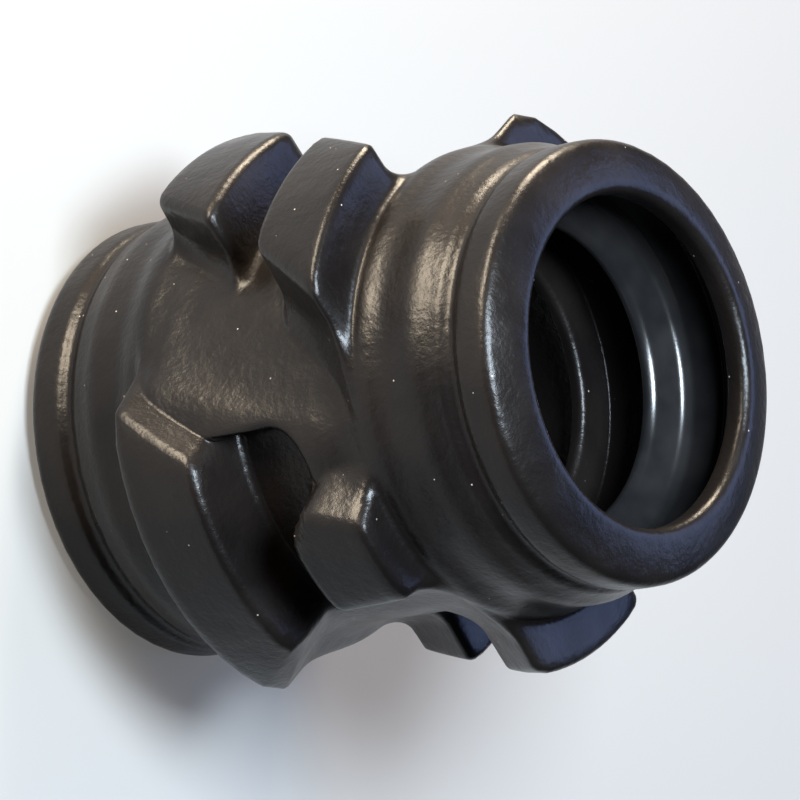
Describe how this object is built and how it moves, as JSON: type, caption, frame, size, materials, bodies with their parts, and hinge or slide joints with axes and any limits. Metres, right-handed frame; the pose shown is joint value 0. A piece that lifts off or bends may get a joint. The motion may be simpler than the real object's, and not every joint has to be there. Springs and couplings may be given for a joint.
{
  "type": "double socket pipe coupling",
  "caption": "Cast-iron push-on pipe coupling with two deep sockets, a rubber seal in each, and cast restraint lugs round its waist.",
  "frame": {"origin": "centre of the rear socket's face, which the coupling stands on", "axes": "+Z along the pipe axis towards the front mouth; +X through a side pair of lugs; +Y through the pair whose front lug is the narrow one"},
  "size_m": [0.207, 0.207, 0.221],
  "materials": {
    "coated_iron": "black dipped coating over a fine sand casting",
    "seal_rubber": "moulded black rubber",
    "hard_ring": "hard black plastic"
  },
  "bodies": {
    "root": {"coupling_body": "coated_iron", "front_seal": "seal_rubber", "rear_seal": "seal_rubber", "front_retaining_ring": "hard_ring", "rear_retaining_ring": "hard_ring"}
  },
  "joints": []
}
